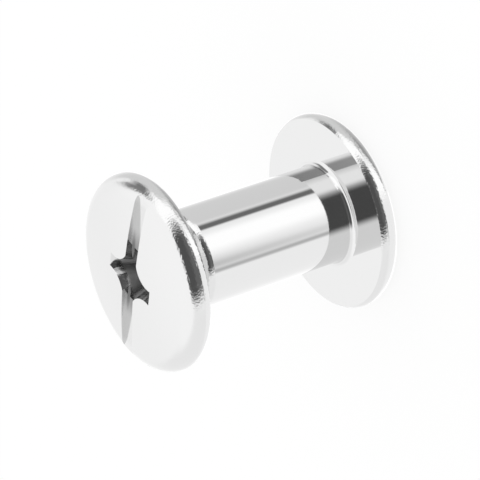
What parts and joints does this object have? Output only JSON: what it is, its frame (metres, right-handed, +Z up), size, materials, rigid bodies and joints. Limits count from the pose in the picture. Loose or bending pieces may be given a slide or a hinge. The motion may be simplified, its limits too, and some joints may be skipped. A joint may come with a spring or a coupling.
{
  "type": "binding barrel screw",
  "caption": "Two-piece post fastener: a smooth tube with a wide round head, closed by a screw whose domed head takes a flat or a cross driver, clamping sheets between the heads.",
  "frame": {"origin": "centre of the flat outer face of the barrel's head, on which the part stands", "axes": "+Z runs up the common axis from the barrel's head to the screw's head; the driver slot lies along X"},
  "size_m": [0.0126, 0.0126, 0.0161],
  "materials": {
    "barrel_plating": "bright nickel plate, mirror-smooth tube and faces, finely grained rim",
    "screw_plating": "bright nickel plate, mirror-smooth dome, finely grained rim"
  },
  "bodies": {
    "barrel": {"barrel": "barrel_plating"},
    "screw": {"screw": "screw_plating"}
  },
  "joints": [
    {"name": "screw_travel", "type": "slide", "parent": "barrel", "child": "screw", "axis": [0, 0, 1], "range_m": [-0.0016, 0.011]}
  ]
}
